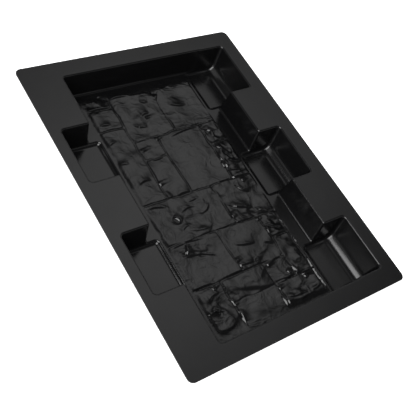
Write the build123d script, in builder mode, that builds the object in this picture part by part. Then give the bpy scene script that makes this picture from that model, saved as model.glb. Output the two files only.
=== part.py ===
"""Vacuum-formed tray insert for a tabletop game box.

A thin black plastic sheet is formed into one long channel with a flagstone-relief
floor, and five finger pockets open off its sides: three on the right, two on the left.
The tray is one piece of sheet. It is divided here, face to face, into the regions
that its form gives it, so that each has a name.

Frame: millimetres, +Z up, +Y along the tray. The origin is at the centre of the
rim's outline, at the height of the surface that the pockets stand on.
"""

import os
from math import cos, radians, tan

from build123d import *

# The sheet and its rim
SHEET = 0.8
RIM_WIDTH = 210.0
RIM_LENGTH = 284.0
RIM_CORNER = 5.0
POCKET_DEPTH = 26.5
LEDGE_DEPTH = 24.0
RIM_TOP = POCKET_DEPTH + SHEET
LEDGE_TOP = RIM_TOP - LEDGE_DEPTH
POCKET_TOP = RIM_TOP - POCKET_DEPTH

# The channel, at the rim
CHANNEL_LEFT = -70.0
CHANNEL_RIGHT = 68.0
CHANNEL_LENGTH = 252.0
END_DRAFT = 7.0
SIDE_DRAFT = 4.0

# The finger pockets: the outer wall at the rim, and the step down from the ledge
POCKET_WIDTH = 52.0
RIGHT_OUTER = 91.0
RIGHT_STEP = 55.6
RIGHT_ROWS = {"far": 99.5, "middle": 0.0, "near": -99.5}
LEFT_OUTER = -95.0
LEFT_STEP = -57.5
LEFT_ROWS = {"far": 50.0, "near": -50.0}
OUTER_DRAFT = 6.5
STEP_DRAFT = 40.0

# Radii on the upper side of the sheet: the first four turn inwards, the others outwards
CHANNEL_CORNER = 2.5
FOOT_ROUND = 2.0
POCKET_ROUND = 3.0
STEP_ROUND = 4.0
SCOOP = 10.0
LAND_CORNER = 1.9
RIM_ROLL = 1.5
END_MARGIN = 10.0  # kept clear of rounding beside each end wall

# The flagstone floor
STONES_LEFT = -56.0
STONES_RIGHT = 53.5
STONES_END = 121.0
STONE_RISE = 1.2
STONE_TAPER = 35.0
STONE_CORNER = 2.5
JOINT = 2.0

# Each stone's outline, from joint centre to joint centre: left, right, near, far
STONES = [
    (STONES_LEFT, -31, 103, STONES_END),
    (STONES_LEFT, -31, 80, 103),
    (-31, 12, 64, STONES_END),
    (12, STONES_RIGHT, 64, STONES_END),
    (STONES_LEFT, -31, 23, 80),
    (-31, -8, 43, 64),
    (-31, -8, 3, 43),
    (-8, 35, 3, 64),
    (35, STONES_RIGHT, 42, 64),
    (35, STONES_RIGHT, 3, 42),
    (STONES_LEFT, 12, -37, 3),
    (12, STONES_RIGHT, -37, 3),
    (STONES_LEFT, -8, -77, -37),
    (-8, 34, -77, -37),
    (34, STONES_RIGHT, -59, -37),
    (34, STONES_RIGHT, -96, -59),
    (STONES_LEFT, -30, -STONES_END, -77),
    (-30, 12, -97, -77),
    (-30, 12, -STONES_END, -97),
    (12, 34, -96, -77),
    (12, STONES_RIGHT, -STONES_END, -96),
]

# Planes that divide the sheet where it is flat, clear of every radius
RIM_CUT = RIM_TOP - 2.2
FOOT_CUT = LEDGE_TOP + 2.6
RIGHT_CUT = CHANNEL_RIGHT + 3.5
LEFT_CUT = CHANNEL_LEFT - 3.5
WALL_REACH = POCKET_WIDTH / 2 + 4.0
FLOOR_REACH = POCKET_WIDTH / 2 + 1.5

# How far the working block and the dividing boxes run past the tray
BLOCK_FLOOR = -4.0
BEYOND = 200.0


def lean(height, draft):
    """How far a wall of this height leans over at this draft."""
    return height * tan(radians(draft))


def shifted(distance, draft):
    """The level distance by which a wall at this draft moves when its face moves by distance."""
    return distance / cos(radians(draft))


def channel_hollow(below):
    """The channel's hollow, with its corners and foot rounded, at this depth inside the sheet."""
    depth = LEDGE_DEPTH + below
    side = shifted(below, SIDE_DRAFT)
    end = shifted(below, END_DRAFT)
    width = CHANNEL_RIGHT - CHANNEL_LEFT + 2 * side
    length = CHANNEL_LENGTH + 2 * end
    middle = (CHANNEL_LEFT + CHANNEL_RIGHT) / 2
    with BuildPart() as hollow:
        with BuildSketch(Plane.XY.offset(RIM_TOP)):
            with Locations((middle, 0)):
                Rectangle(width, length)
        with BuildSketch(Plane.XY.offset(RIM_TOP - depth)):
            with Locations((middle, 0)):
                Rectangle(width - 2 * lean(depth, SIDE_DRAFT), length - 2 * lean(depth, END_DRAFT))
        loft(ruled=True)
        upright = hollow.edges().filter_by(lambda edge: abs(edge.center().Z - RIM_TOP + depth / 2) < 1)
        fillet(upright, CHANNEL_CORNER + below)
        fillet(hollow.faces().sort_by(Axis.Z)[0].edges(), FOOT_ROUND + below)
    return hollow.part


def pocket_hollow(outer, step, row, below):
    """A finger pocket's hollow: a step down from the ledge, a level floor and a scooped outer wall."""
    side = 1 if outer > 0 else -1
    floor = POCKET_TOP - below
    depth = POCKET_DEPTH + below
    wall_top = outer + side * shifted(below, OUTER_DRAFT)
    wall_foot = wall_top - side * lean(depth, OUTER_DRAFT)
    step_edge = step - side * shifted(below, STEP_DRAFT)
    step_foot = step_edge + side * lean(LEDGE_TOP - floor, STEP_DRAFT)
    step_top = step_edge - side * lean(LEDGE_DEPTH, STEP_DRAFT)
    half = POCKET_WIDTH / 2 + shifted(below, END_DRAFT)
    half_foot = half - lean(depth, END_DRAFT)
    with BuildPart() as hollow:
        with BuildSketch(Plane.XZ) as profile:
            with BuildLine():
                Polyline(
                    (step_top, RIM_TOP),
                    (wall_top, RIM_TOP),
                    (wall_foot, floor),
                    (step_foot, floor),
                    close=True,
                )
            make_face()
            foot_corners = profile.vertices().group_by(Axis.Y)[0]
            fillet(foot_corners.sort_by(Axis.X)[-1 if side > 0 else 0], SCOOP + below)
            foot_corners = profile.vertices().group_by(Axis.Y)[0]
            fillet(foot_corners.sort_by(Axis.X)[0 if side > 0 else -1], STEP_ROUND + below)
        extrude(amount=POCKET_WIDTH, both=True)
        with BuildSketch(Plane.YZ):
            with BuildLine():
                Polyline(
                    (-half, RIM_TOP),
                    (half, RIM_TOP),
                    (half_foot, floor),
                    (-half_foot, floor),
                    close=True,
                )
            make_face()
        extrude(amount=BEYOND, both=True, mode=Mode.INTERSECT)
        ends = hollow.faces().filter_by(lambda face: abs(face.normal_at().Y) > 0.9)
        below_rim = ends.edges().filter_by(lambda edge: edge.center().Z < RIM_TOP - 1)
        fillet(below_rim, POCKET_ROUND + below)
    return hollow.part.moved(Location((0, row, 0)))


def is_rounded(edge):
    """Whether this edge, where two hollows meet, is rounded. Those beside the end walls stay sharp."""
    return abs(edge.center().Y) < CHANNEL_LENGTH / 2 - END_MARGIN


def form(below):
    """A block with the tray's hollows in it, with its surface at this depth inside the sheet."""
    channel = channel_hollow(below)
    right = [pocket_hollow(RIGHT_OUTER, RIGHT_STEP, row, below) for row in RIGHT_ROWS.values()]
    left = [pocket_hollow(LEFT_OUTER, LEFT_STEP, row, below) for row in LEFT_ROWS.values()]
    with BuildPart() as hollows:
        add([channel, *right, *left])
        meetings = new_edges(channel, *right, *left, combined=hollows.part)
        fillet(meetings.filter_by(is_rounded), LAND_CORNER - below)
    with BuildPart() as block:
        with BuildSketch(Plane.XY.offset(BLOCK_FLOOR)):
            RectangleRounded(RIM_WIDTH, RIM_LENGTH, RIM_CORNER)
        extrude(amount=RIM_TOP - below - BLOCK_FLOOR)
        add(hollows.part, mode=Mode.SUBTRACT)
        mouth = block.faces().sort_by(Axis.Z)[-1].inner_wires()[0]
        fillet(mouth.edges(), RIM_ROLL - below)
    return block.part


def box(left, right, near, far, bottom, top):
    """A dividing box between these limits."""
    size = (right - left, far - near, top - bottom)
    centre = ((left + right) / 2, (near + far) / 2, (bottom + top) / 2)
    return Box(*size, mode=Mode.PRIVATE).moved(Location(centre))


def write_region(label, *boxes):
    """Write the part of the sheet that lies in these boxes as a sub-part of its own."""
    with BuildPart() as region:
        add(list(boxes))
        add(tray.part, mode=Mode.INTERSECT)
    region.part.label = label
    export_step(region.part, f"parts/{label}.step")
    print(label, region.part.is_valid, len(region.part.solids()), round(region.part.volume))


def stone_block(grown, base, height):
    """The raised blocks of all the flagstones, each grown by this distance all round."""
    with BuildPart() as blocks:
        for left, right, near, far in STONES:
            width = right - left - JOINT + 2 * grown
            length = far - near - JOINT + 2 * grown
            with BuildSketch(Plane.XY.offset(base)):
                with Locations(((left + right) / 2, (near + far) / 2)):
                    RectangleRounded(width, length, STONE_CORNER + grown)
            extrude(amount=height, taper=STONE_TAPER)
    return blocks.part


os.makedirs("parts", exist_ok=True)

# The whole formed sheet, without the relief of its floor
upper = form(0)
under = form(SHEET)
with BuildPart() as tray:
    add(upper)
    add(under, mode=Mode.SUBTRACT)

# The flat rim all round, with the roll of its inner edge
write_region("rim_flange", box(-BEYOND, BEYOND, -BEYOND, BEYOND, RIM_CUT, RIM_TOP + 1))

# The two end walls, down to the floor and as far as the corners of the channel
for name, end in (("far", 1), ("near", -1)):
    near, far = sorted((end * STONES_END, end * BEYOND))
    wall = box(LEFT_CUT, RIGHT_CUT, near, far, FOOT_CUT, RIM_CUT)
    foot = box(LEFT_CUT, STONES_RIGHT, near, far, BLOCK_FLOOR, FOOT_CUT)
    write_region(f"channel_wall_{name}", wall, foot)

# The finger pockets, with the part of the channel's floor that steps down into each
for side, rows, wall_cut, floor_cut in (
    ("right", RIGHT_ROWS, RIGHT_CUT, STONES_RIGHT),
    ("left", LEFT_ROWS, LEFT_CUT, STONES_LEFT),
):
    beyond = BEYOND if wall_cut > 0 else -BEYOND
    for name, row in rows.items():
        left, right = sorted((wall_cut, beyond))
        walls = box(left, right, row - WALL_REACH, row + WALL_REACH, BLOCK_FLOOR, RIM_CUT)
        left, right = sorted((floor_cut, beyond))
        floor = box(left, right, row - FLOOR_REACH, row + FLOOR_REACH, BLOCK_FLOOR, FOOT_CUT)
        write_region(f"{side}_pocket_{name}", walls, floor)

# The lands between the pockets, and the ledge at the foot of each
RIGHT_LANDS = {"far": (RIGHT_ROWS["middle"], RIGHT_ROWS["far"]), "near": (RIGHT_ROWS["near"], RIGHT_ROWS["middle"])}
LEFT_LANDS = {
    "far": (LEFT_ROWS["far"], STONES_END + FLOOR_REACH),
    "middle": (LEFT_ROWS["near"], LEFT_ROWS["far"]),
    "near": (-STONES_END - FLOOR_REACH, LEFT_ROWS["near"]),
}
for side, lands, wall_cut, floor_cut in (
    ("right", RIGHT_LANDS, RIGHT_CUT, STONES_RIGHT),
    ("left", LEFT_LANDS, LEFT_CUT, STONES_LEFT),
):
    left, right = sorted((wall_cut, floor_cut))
    for name, (near, far) in lands.items():
        wall_near = max(near, -STONES_END)
        wall_far = min(far, STONES_END)
        write_region(f"{side}_land_{name}", box(left, right, wall_near, wall_far, FOOT_CUT, RIM_CUT))
        ledge = box(left, right, near + FLOOR_REACH, far - FLOOR_REACH, BLOCK_FLOOR, FOOT_CUT)
        write_region(f"{side}_ledge_{name}", ledge)

# The flagstone floor: a sheet with each stone raised from below
with BuildPart() as stone_floor:
    add(box(STONES_LEFT, STONES_RIGHT, -STONES_END, STONES_END, LEDGE_TOP - SHEET, LEDGE_TOP))
    add(stone_block(0, LEDGE_TOP, STONE_RISE))
    add(stone_block(-SHEET, LEDGE_TOP - SHEET, STONE_RISE), mode=Mode.SUBTRACT)
stone_floor.part.label = "stone_floor"
export_step(stone_floor.part, "parts/stone_floor.step")
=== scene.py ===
"""Looks for the formed game tray: gloss black sheet, and a sculpted flagstone floor.

Units are metres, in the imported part's frame. Lengths in the sections on the stones
are millimetres, and are turned into metres where the mesh is made.
"""

import math

import bpy
import numpy as np
from mathutils import Matrix, Vector


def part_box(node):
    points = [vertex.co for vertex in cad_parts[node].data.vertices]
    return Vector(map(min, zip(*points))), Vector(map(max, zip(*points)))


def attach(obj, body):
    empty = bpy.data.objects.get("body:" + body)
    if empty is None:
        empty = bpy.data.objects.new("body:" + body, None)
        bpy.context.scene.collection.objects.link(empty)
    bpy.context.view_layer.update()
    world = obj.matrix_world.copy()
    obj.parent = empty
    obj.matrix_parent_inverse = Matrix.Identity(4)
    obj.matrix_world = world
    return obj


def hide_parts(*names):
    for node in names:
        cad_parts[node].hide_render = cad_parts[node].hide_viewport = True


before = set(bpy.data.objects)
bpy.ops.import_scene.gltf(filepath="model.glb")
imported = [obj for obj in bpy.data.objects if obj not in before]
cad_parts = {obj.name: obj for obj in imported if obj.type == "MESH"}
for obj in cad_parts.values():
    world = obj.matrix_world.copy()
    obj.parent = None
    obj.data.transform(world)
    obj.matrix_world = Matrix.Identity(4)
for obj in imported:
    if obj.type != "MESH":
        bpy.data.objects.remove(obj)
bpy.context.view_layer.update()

MM = 0.001
SHEET = 0.8 * MM
LEDGE_DEPTH = 24.0 * MM
RIM_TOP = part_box("rim_flange")[1].z
LEDGE_TOP = RIM_TOP - LEDGE_DEPTH
FLOOR_LOW, FLOOR_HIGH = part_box("stone_floor")


# Camera

VIEW_AZIMUTH = -55.52
VIEW_ELEVATION = 50.83
VIEW_ROLL = 29.47
VIEW_DISTANCE = 0.5372
VIEW_TARGET = Vector((-0.0193, -0.0267, RIM_TOP))
LENS = 60.48


def make_camera():
    """The camera, turned about its own axis so that the tray lies aslant in the frame."""
    azimuth, elevation = math.radians(VIEW_AZIMUTH), math.radians(VIEW_ELEVATION)
    back = Vector(
        (
            math.sin(azimuth) * math.cos(elevation),
            -math.cos(azimuth) * math.cos(elevation),
            math.sin(elevation),
        )
    )
    data = bpy.data.cameras.new("view")
    data.lens = LENS
    data.sensor_width = 36.0
    data.clip_start = 0.01
    data.clip_end = 20.0
    camera = bpy.data.objects.new("view", data)
    bpy.context.scene.collection.objects.link(camera)
    level = (-back).to_track_quat("-Z", "Y").to_matrix().to_4x4()
    roll = Matrix.Rotation(math.radians(VIEW_ROLL), 4, "Z")
    camera.matrix_world = Matrix.Translation(VIEW_TARGET + back * VIEW_DISTANCE) @ level @ roll
    bpy.context.scene.camera = camera


# Light and floor

CENTRE = Vector((0.0, 0.0, RIM_TOP))

KEY_DIRECTION = (-0.62, -0.20, 0.76)
KEY_DISTANCE = 1.3
KEY_SIDE = 1.1
KEY_RADIANCE = 6.0

ROOM_RADIANCE = 0.06
# The pale band fades out at this height on a sphere of radius 1
BAND_TOP = 0.45
BAND_RADIANCE = 0.85
# The glow fades out at this many degrees from its middle
GLOW_DIRECTION = (0.42, 0.39, 0.82)
GLOW_REACH = 28.0
GLOW_RADIANCE = 1.03

FLOOR_HALF = 15.0


def make_key():
    """A square softbox that faces the tray from the left."""
    data = bpy.data.lights.new("key_softbox", "AREA")
    data.shape = "SQUARE"
    data.size = KEY_SIDE
    data.energy = KEY_RADIANCE * math.pi * KEY_SIDE**2
    light = bpy.data.objects.new("key_softbox", data)
    bpy.context.scene.collection.objects.link(light)
    away = Vector(KEY_DIRECTION).normalized()
    light.location = CENTRE + away * KEY_DISTANCE
    light.rotation_mode = "QUATERNION"
    light.rotation_quaternion = away.to_track_quat("Z", "Y")


def falling(tree, value, reach, radiance):
    """A radiance that falls smoothly from its full strength at 0 to nothing at this reach."""
    fall = tree.nodes.new("ShaderNodeMapRange")
    fall.interpolation_type = "SMOOTHSTEP"
    fall.inputs["From Min"].default_value = 0.0
    fall.inputs["From Max"].default_value = reach
    fall.inputs["To Min"].default_value = radiance
    fall.inputs["To Max"].default_value = 0.0
    tree.links.new(value, fall.inputs["Value"])
    return fall.outputs["Result"]


def room_light(tree):
    """A dim room, with a pale band low down and a soft round glow to the far right."""
    ray = tree.nodes.new("ShaderNodeTexCoord").outputs["Generated"]
    toward = tree.nodes.new("ShaderNodeVectorMath")
    toward.operation = "DOT_PRODUCT"
    toward.inputs[1].default_value = Vector(GLOW_DIRECTION).normalized()
    tree.links.new(ray, toward.inputs[0])
    angle = tree.nodes.new("ShaderNodeMath")
    angle.operation = "ARCCOSINE"
    tree.links.new(toward.outputs["Value"], angle.inputs[0])
    height = tree.nodes.new("ShaderNodeSeparateXYZ")
    tree.links.new(ray, height.inputs[0])
    total = tree.nodes.new("ShaderNodeMath")
    total.operation = "ADD"
    glow = falling(tree, angle.outputs["Value"], math.radians(GLOW_REACH), GLOW_RADIANCE)
    tree.links.new(glow, total.inputs[0])
    tree.links.new(falling(tree, height.outputs["Z"], BAND_TOP, BAND_RADIANCE), total.inputs[1])
    room = tree.nodes.new("ShaderNodeMath")
    room.operation = "ADD"
    room.inputs[1].default_value = ROOM_RADIANCE
    tree.links.new(total.outputs["Value"], room.inputs[0])
    return room.outputs["Value"]


def make_room():
    """The room's own light, and the plain view of its brightness."""
    world = bpy.data.worlds.new("dim_room")
    bpy.context.scene.world = world
    world.use_nodes = True
    background = world.node_tree.nodes["Background"]
    background.inputs["Color"].default_value = (1.0, 1.0, 1.0, 1.0)
    world.node_tree.links.new(room_light(world.node_tree), background.inputs["Strength"])
    bpy.context.scene.view_settings.view_transform = "Standard"


def make_floor():
    """A plain white floor that the tray stands on."""
    mesh = bpy.data.meshes.new("floor")
    signs = ((-1, -1), (1, -1), (1, 1), (-1, 1))
    corners = [(x * FLOOR_HALF, y * FLOOR_HALF, 0.0) for x, y in signs]
    mesh.from_pydata(corners, [], [(0, 1, 2, 3)])
    floor = bpy.data.objects.new("floor", mesh)
    bpy.context.scene.collection.objects.link(floor)
    material = bpy.data.materials.new("white_floor")
    material.use_nodes = True
    shader = material.node_tree.nodes["Principled BSDF"]
    shader.inputs["Base Color"].default_value = (0.92, 0.92, 0.92, 1.0)
    shader.inputs["Roughness"].default_value = 0.9
    shader.inputs["Emission Color"].default_value = (1.0, 1.0, 1.0, 1.0)
    shader.inputs["Emission Strength"].default_value = 1.0
    mesh.materials.append(material)


# The black sheet's material

DARK_TONE = (0.0032, 0.0032, 0.0035, 1.0)
LIGHT_TONE = (0.0048, 0.0048, 0.0050, 1.0)
PLASTIC_IOR = 1.5
LESS_ROUGH = 0.04
MORE_ROUGH = 0.05


def noise_node(tree, places, scale, detail, roughness=0.5, distortion=0.0):
    """A noise texture over the object's own coordinates."""
    node = tree.nodes.new("ShaderNodeTexNoise")
    node.inputs["Scale"].default_value = scale
    node.inputs["Detail"].default_value = detail
    node.inputs["Roughness"].default_value = roughness
    node.inputs["Distortion"].default_value = distortion
    tree.links.new(places, node.inputs["Vector"])
    return node


def ranged(tree, value, low, high):
    """A value from 0 to 1 spread over this range."""
    node = tree.nodes.new("ShaderNodeMapRange")
    node.inputs["To Min"].default_value = low
    node.inputs["To Max"].default_value = high
    tree.links.new(value, node.inputs["Value"])
    return node.outputs["Result"]


def bumped(tree, height, distance, strength, normal=None):
    """A bump from this height, on top of an earlier normal if there is one."""
    node = tree.nodes.new("ShaderNodeBump")
    node.inputs["Distance"].default_value = distance
    node.inputs["Strength"].default_value = strength
    tree.links.new(height, node.inputs["Height"])
    if normal:
        tree.links.new(normal, node.inputs["Normal"])
    return node.outputs["Normal"]


def black_sheet(name, base_roughness, wave_strength, streak_strength=0.0):
    """Formed black plastic, with faint changes of tone and gloss, soft waves, streaks and grain."""
    material = bpy.data.materials.new(name)
    material.use_nodes = True
    tree = material.node_tree
    shader = tree.nodes["Principled BSDF"]
    places = tree.nodes.new("ShaderNodeTexCoord").outputs["Object"]

    tone = noise_node(tree, places, scale=35.0, detail=4.0)
    colour = tree.nodes.new("ShaderNodeMix")
    colour.data_type = "RGBA"
    colour.inputs["A"].default_value = DARK_TONE
    colour.inputs["B"].default_value = LIGHT_TONE
    tree.links.new(tone.outputs["Fac"], colour.inputs["Factor"])
    tree.links.new(colour.outputs["Result"], shader.inputs["Base Color"])

    dulling = noise_node(tree, places, scale=60.0, detail=5.0, roughness=0.6).outputs["Fac"]
    rough = ranged(tree, dulling, base_roughness - LESS_ROUGH, base_roughness + MORE_ROUGH)
    tree.links.new(rough, shader.inputs["Roughness"])

    wave = noise_node(tree, places, scale=28.0, detail=1.5).outputs["Fac"]
    normal = bumped(tree, wave, 0.6 * MM, wave_strength)
    if streak_strength:
        streaks = noise_node(tree, places, scale=85.0, detail=2.0, distortion=1.6).outputs["Fac"]
        normal = bumped(tree, streaks, 1.0 * MM, streak_strength, normal)
    grain = noise_node(tree, places, scale=2600.0, detail=2.0).outputs["Fac"]
    normal = bumped(tree, grain, 0.02 * MM, 0.25, normal)
    tree.links.new(normal, shader.inputs["Normal"])

    shader.inputs["IOR"].default_value = PLASTIC_IOR
    return material


# The flagstone floor, in millimetres

# The outline of all the stones together, which reaches as far along -Y as along +Y
STONES_LEFT = -56.0
STONES_RIGHT = 53.5
STONES_END = 121.0

# Each stone's joint lines: left, right, near, far, then how rough its top is
STONES = [
    (-56, -31, 103, 121, 1.0),
    (-56, -31, 80, 103, 1.0),
    (-31, 12, 64, 121, 0.8),
    (12, 53.5, 64, 121, 0.6),
    (-56, -31, 3, 80, 0.9),
    (-31, -8, 43, 64, 1.0),
    (-31, -8, 3, 43, 0.9),
    (-8, 35, 3, 64, 0.25),
    (35, 53.5, 42, 64, 1.8),
    (35, 53.5, 3, 42, 2.0),
    (-56, 12, -37, 3, 1.1),
    (12, 53.5, -37, 3, 1.3),
    (-56, -8, -77, -37, 0.8),
    (-8, 34, -77, -37, 0.8),
    (34, 53.5, -59, -37, 1.7),
    (34, 53.5, -96, -59, 1.5),
    (-56, -30, -121, -77, 1.4),
    (-30, 12, -97, -77, 1.3),
    (-30, 12, -121, -97, 0.6),
    (12, 34, -96, -77, 1.1),
    (12, 53.5, -121, -96, 1.6),
]

# Chipped edges: middle x, y, direction in degrees, length, bow, drop.
# Looking along the direction, the high side is on the left.
CHIPS = [
    (28, 90, -18, 17, -1.5, 0.85),
    (-17, 77, -24, 13, -0.8, 0.7),
    (-6, 87, 8, 9, 1.5, 0.7),
    (-46, 85, -6, 10, 1.0, 0.7),
    (-44, 103, 0, 24, 1.0, 0.7),
    (-1, 101, -25, 8, -1.0, 0.6),
    (14, 102, 60, 8, 1.0, 0.7),
    (-20, 110, 0, 20, 1.5, 0.7),
    (-19, 42, 5, 14, -1.0, 0.7),
    (-41, 23, 8, 13, 2.0, 0.8),
    (-29, 5, 20, 8, -2.0, 0.6),
    (-15, 3.5, 0, 14, 1.0, 0.7),
    (-11, -4, 6, 13, -0.6, 0.6),
    (18, 60, 6, 32, 1.5, 0.8),
    (-22, 62, 0, 18, 1.0, 0.7),
    (-49, 66, 20, 10, 1.0, 0.6),
    (-50, 44, -10, 9, 1.0, 0.5),
    (42, 57, -25, 16, -2.0, 0.9),
    (44, 42, 8, 17, 1.0, 0.8),
    (41, 30, -62, 22, 2.0, 1.0),
    (46, 19, -20, 14, -2.0, 0.9),
    (41, 9, -20, 10, 1.0, 0.8),
    (36, -8, -50, 16, -2.0, 0.8),
    (24, -23, -27, 26, -1.5, 0.9),
    (43, -34, -42, 20, -1.5, 1.0),
    (-44, -3, -15, 20, 2.0, 0.6),
    (-20, -12, 8, 18, 2.0, 0.5),
    (-20, -30, -10, 22, -2.0, 0.5),
    (-6, -15, 30, 14, -2.0, 0.5),
    (-30, -27, 20, 12, 2.0, 0.5),
    (8, -38, 0, 34, 1.0, 0.7),
    (-38, -39, 0, 32, 1.0, 0.7),
    (-34, -53, -14, 30, 2.5, 0.9),
    (8, -56, -14, 19, -1.0, 0.8),
    (28, -63, -30, 9, 1.0, 0.6),
    (-1, -72, -4, 16, -0.6, 0.8),
    (43, -48, -30, 18, -3.0, 0.9),
    (44, -60, 12, 16, 2.0, 0.8),
    (37, -88, -70, 24, -2.5, 0.9),
    (-46, -77, 0, 24, 1.0, 0.8),
    (-12, -77, -2, 34, 1.0, 0.8),
    (24, -79, 8, 18, 1.5, 0.7),
    (24, -95, 8, 18, -1.5, 0.7),
    (-46, -100, -6, 16, 1.5, 0.8),
    (-42, -88, 22, 14, 2.0, 0.7),
    (-44, -112, 10, 18, -2.0, 0.6),
    (24, -111, -6, 22, -1.5, 0.8),
    (30, -117, 6, 24, 1.0, 0.8),
    (45, -111, 14, 14, -1.5, 0.8),
    (44, -101, -15, 14, 1.5, 0.8),
]

# Small steep flakes that face left, as chips
FLAKES = [
    (-39, 118, -80, 4, 0.6, 1.0),
    (-29, 53, -80, 4, 0.8, 1.0),
    (-11, 60, -70, 4, 0.8, 1.0),
    (-8, 84, -80, 3.5, 0.5, 0.8),
    (-30.5, 18.5, -80, 5, 0.5, 0.8),
    (33, 18, -85, 7, 0.5, 1.0),
    (34, 62, -80, 3, 0.5, 0.8),
    (50, 57, -85, 8, 0.5, 0.7),
    (40, -2, -70, 5, 0.8, 0.9),
    (-35, -17.5, -50, 8, 1.5, 1.3),
    (11, -29, -85, 7, 0.5, 1.0),
    (-42, -44, -115, 12, 0.4, 1.0),
    (31, -40, -80, 4, 0.5, 0.9),
    (33, -52, -85, 8, 0.5, 0.9),
    (-9, -67, -80, 5, 0.5, 0.9),
    (8, -74, -60, 5, 0.8, 0.9),
    (-40, -81, -60, 6, 0.8, 1.0),
    (15, -80, -80, 4, 0.5, 0.9),
    (28, -92, -60, 5, 0.8, 1.0),
    (39, -100, -70, 6, 1.0, 1.3),
    (-31, -96, -70, 9, 0.5, 1.0),
    (-30, -108, -95, 12, 0.5, 1.0),
    (10, -113, -88, 14, 0.4, 1.1),
    (12, -101, -80, 4, 0.5, 0.9),
    (-48, -99, -40, 7, 0.8, 1.0),
    (51.5, -101, -90, 42, 0.3, 1.0),
    (51.5, -55, -90, 26, 0.3, 0.8),
]

# Broad slopes, as chips but with a much wider face
SLOPES = [
    (-8, -91, -17, 42, -1.0, 1.0),
    (-36, -48, -12, 42, 1.5, 1.0),
    (43, 52, 95, 20, 0.0, 1.1),
    (42, 29, 95, 28, 0.0, 1.2),
    (43, -48, 95, 22, 0.0, 1.0),
    (32, -29, -30, 36, -2.0, 0.7),
]

# Hollows and bumps: x, y, half length, half width, direction in degrees, height
DENTS = [
    (-36, -47, 22, 6, -12, -0.8),
    (44, 26, 9, 7, 60, -0.8),
    (43, 53, 9, 7, -10, -0.6),
    (44, -48, 8, 8, 0, -0.6),
    (-35, -18, 4.5, 3, -40, 0.6),
    (-44, 112, 8, 5, 10, 0.3),
    (44, -84, 7, 9, 0, 0.5),
    (-44, -92, 8, 6, 20, -0.4),
    (-43, 40, 9, 14, 0, 0.25),
]

# Places with a broken, rippled surface: x, y, half length, half width, direction in degrees
BROKEN = [
    (-36, -46, 21, 7, -12),
    (43, 28, 9, 14, 0),
    (44, 52, 9, 8, 0),
    (44, -48, 9, 9, 0),
    (32, -110, 19, 5, 0),
    (-45, -98, 10, 8, 0),
    (30, -30, 22, 5, -30),
]

# The stones' usual rise, their corners' radius, their joints' width and how far their edges wander
STONE_RISE = 0.42
STONE_CORNER = 2.2
JOINT_WIDTH = 1.1
EDGE_WANDER = 0.9

# How wide a chip's and a broad slope's face is, and how far behind it the ground falls back
FACE_WIDTH = 1.8
SLOPE_WIDTH = 5.0
FALL_BACK = 4.5

# How strongly each kind of relief counts
SWELL_HEIGHT = 0.80
RIPPLE_HEIGHT = 0.55
FOLD_HEIGHT = 0.22
DENT_SHARE = 0.8
BROKEN_HEIGHT = 0.50
CHIP_SHARE = 1.4
FLAKE_SHARE = 1.35

# How far the whole relief is sunk, so that its hollows lie below the ledges
SUNK = 0.30

# The gutter along the right edge of the nearer stones
GUTTER_IN = 1.9
GUTTER_HALF = 1.1
GUTTER_DEPTH = 1.1

# How far in from each edge the relief takes to rise to its full height
RISE_FROM_ENDS = 9.0
RISE_FROM_LEFT = 4.0
RISE_FROM_RIGHT = 1.5

# The top grid's spacing, and the lowest that the surface goes
GRID = 0.6
LOWEST = -0.75

LATTICE = 128


def lattice_noise(x, y, wavelength, seed):
    """Smooth noise from 0 to 1 over the plane, the same on every run."""
    lattice = np.random.default_rng(seed).random((LATTICE, LATTICE))
    u, v = x / wavelength + 60.0, y / wavelength + 60.0
    i, j = np.floor(u).astype(int), np.floor(v).astype(int)
    s, t = u - i, v - j
    s, t = s * s * s * (s * (6 * s - 15) + 10), t * t * t * (t * (6 * t - 15) + 10)
    i, j = i % (LATTICE - 1), j % (LATTICE - 1)
    low = lattice[i, j] * (1 - s) + lattice[i + 1, j] * s
    high = lattice[i, j + 1] * (1 - s) + lattice[i + 1, j + 1] * s
    return low * (1 - t) + high * t


def step_up(value, low, high):
    """Rises smoothly from 0 to 1 between low and high."""
    t = np.clip((value - low) / (high - low), 0, 1)
    return t * t * (3 - 2 * t)


def turned(x, y, at_x, at_y, degrees):
    """Coordinates along and across a direction, from a point."""
    c, s = math.cos(math.radians(degrees)), math.sin(math.radians(degrees))
    return (x - at_x) * c + (y - at_y) * s, (y - at_y) * c - (x - at_x) * s


def oval_reach(x, y, at_x, at_y, half_length, half_width, degrees):
    """How far out a place is from the middle of an oval, where 1 is its rim."""
    along, across = turned(x, y, at_x, at_y, degrees)
    return np.sqrt((along / half_length) ** 2 + (across / half_width) ** 2)


def edge_distance(x, y):
    """How far a place lies inside the edge of the stones."""
    edge_x = np.minimum(x - STONES_LEFT, STONES_RIGHT - x)
    return np.minimum(edge_x, STONES_END - np.abs(y))


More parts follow.
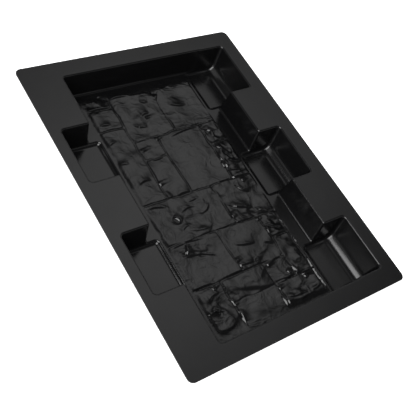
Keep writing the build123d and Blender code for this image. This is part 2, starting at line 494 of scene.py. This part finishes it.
def stones_alone(x, y):
    """The stones' tops with the joints between them, and how rough each place is."""
    still = step_up(edge_distance(x, y), 0.0, 3.0)
    wander_x = EDGE_WANDER * (2 * lattice_noise(x, y, 9.0, 11) - 1)
    wander_y = EDGE_WANDER * (2 * lattice_noise(x, y, 9.0, 12) - 1)
    wx, wy = x + wander_x * still, y + wander_y * still
    depth = STONE_RISE * (0.35 + 1.5 * lattice_noise(x, y, 12.0, 13))
    height, roughness = np.zeros_like(x), np.zeros_like(x)
    for left, right, near, far, rough in STONES:
        inside_x = np.minimum(wx - left, right - wx)
        inside_y = np.minimum(wy - near, far - wy)
        short_x = np.maximum(STONE_CORNER - inside_x, 0)
        short_y = np.maximum(STONE_CORNER - inside_y, 0)
        in_corner = (short_x > 0) & (short_y > 0)
        rounded = STONE_CORNER - np.hypot(short_x, short_y)
        reach = np.where(in_corner, rounded, np.minimum(inside_x, inside_y))
        height = np.maximum(height, depth * step_up(reach, 0.1, JOINT_WIDTH))
        roughness = np.where(reach > 0, rough, roughness)
    return height, roughness


def faces_of(x, y, chips, width):
    """Steps up that fade out behind and towards both ends."""
    relief = np.zeros_like(x)
    for at_x, at_y, degrees, length, bow, drop in chips:
        along, across = turned(x, y, at_x, at_y, degrees)
        share = np.clip(np.abs(2 * along / length), 0, 1)
        across = across - bow * (1 - share**2)
        fade = (1 - share**2) * np.exp(-np.maximum(across, 0) / FALL_BACK)
        relief = relief + drop * fade * step_up(across, -width / 2, width / 2)
    return relief


def stone_height(x, y):
    """The floor's height above the ledges."""
    height, roughness = stones_alone(x, y)
    swell = lattice_noise(x, y, 19.0, 21) - 0.5
    ripple = lattice_noise(x + 5 * swell, y - 4 * swell, 8.5, 22) - 0.5
    fold = 1 - np.abs(2 * lattice_noise(x + 6 * ripple, y + 8 * swell, 15.0, 24) - 1)
    relief = SWELL_HEIGHT * swell + RIPPLE_HEIGHT * ripple + FOLD_HEIGHT * fold**3
    relief = relief * roughness
    for at_x, at_y, half_length, half_width, degrees, rise in DENTS:
        reach = oval_reach(x, y, at_x, at_y, half_length, half_width, degrees)
        relief = relief + DENT_SHARE * rise * (1 - step_up(reach, 0.35, 1.1))
    ripples = 2 * lattice_noise(x, y + 3 * ripple, 4.4, 31) - 1
    for patch in BROKEN:
        share = 1 - step_up(oval_reach(x, y, *patch), 0.5, 1.1)
        relief = relief + BROKEN_HEIGHT * ripples * share
    relief = relief + CHIP_SHARE * faces_of(x, y, CHIPS, FACE_WIDTH)
    relief = relief + FLAKE_SHARE * faces_of(x, y, FLAKES, FACE_WIDTH)
    relief = relief + faces_of(x, y, SLOPES, SLOPE_WIDTH)
    gutter = np.exp(-(((x - STONES_RIGHT + GUTTER_IN) / GUTTER_HALF) ** 2))
    gutter = GUTTER_DEPTH * gutter * step_up(-y, 36.0, 44.0)
    height = height + relief - SUNK - gutter
    height = height * step_up(STONES_END - np.abs(y), 0.0, RISE_FROM_ENDS)
    height = height * step_up(x - STONES_LEFT, 0.0, RISE_FROM_LEFT)
    height = height * step_up(STONES_RIGHT - x, 0.0, RISE_FROM_RIGHT)
    return np.maximum(height, LOWEST)


def grid_faces(index, upwards):
    """The four-sided faces of a grid of points, facing up or down."""
    a, b, c, d = index[:-1, :-1], index[1:, :-1], index[1:, 1:], index[:-1, 1:]
    order = (a, b, c, d) if upwards else (d, c, b, a)
    return np.stack(order, axis=-1).reshape(-1, 4).tolist()


def make_stone_floor(material):
    """A closed sheet with the stones' surface above, and that surface a sheet's thickness below."""
    left, right = FLOOR_LOW.x / MM, FLOOR_HIGH.x / MM
    near, far = FLOOR_LOW.y / MM, FLOOR_HIGH.y / MM
    count_x = 2 * round((right - left) / GRID / 2) + 1
    count_y = 2 * round((far - near) / GRID / 2) + 1
    across, along = np.linspace(left, right, count_x), np.linspace(near, far, count_y)
    x, y = np.meshgrid(across, along, indexing="ij")
    upper = np.stack([x * MM, y * MM, stone_height(x, y) * MM + LEDGE_TOP], axis=-1)
    lower = upper[::2, ::2].copy()
    lower[..., 2] -= SHEET
    points = np.vstack([upper.reshape(-1, 3), lower.reshape(-1, 3)])

    top = np.arange(upper[..., 0].size).reshape(upper.shape[:2])
    base = np.arange(lower[..., 0].size).reshape(lower.shape[:2]) + top.size
    faces = grid_faces(top, True) + grid_faces(base, False)
    rims = (
        (top[:, 0], base[:, 0]),
        (top[-1, :], base[-1, :]),
        (top[::-1, -1], base[::-1, -1]),
        (top[0, ::-1], base[0, ::-1]),
    )
    for high, low in rims:
        for k in range(len(low) - 1):
            faces.append([low[k], low[k + 1], high[2 * k + 2], high[2 * k + 1], high[2 * k]])

    mesh = bpy.data.meshes.new("flagstone_floor")
    mesh.from_pydata(points.tolist(), [], faces)
    mesh.materials.append(material)
    mesh.polygons.foreach_set("use_smooth", [True] * len(mesh.polygons))
    mesh.set_sharp_from_angle(angle=math.radians(60))
    mesh.validate()
    floor = bpy.data.objects.new("flagstone_floor", mesh)
    bpy.context.scene.collection.objects.link(floor)
    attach(floor, "root")
    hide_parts("stone_floor")


# The scene

make_camera()
make_key()
make_room()
make_floor()
smooth_sheet = black_sheet("black_sheet_smooth", base_roughness=0.20, wave_strength=0.35)
stone_sheet = black_sheet(
    "black_sheet_stone", base_roughness=0.17, wave_strength=0.6, streak_strength=0.45
)
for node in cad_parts.values():
    node.data.materials.clear()
    node.data.materials.append(smooth_sheet)
make_stone_floor(stone_sheet)
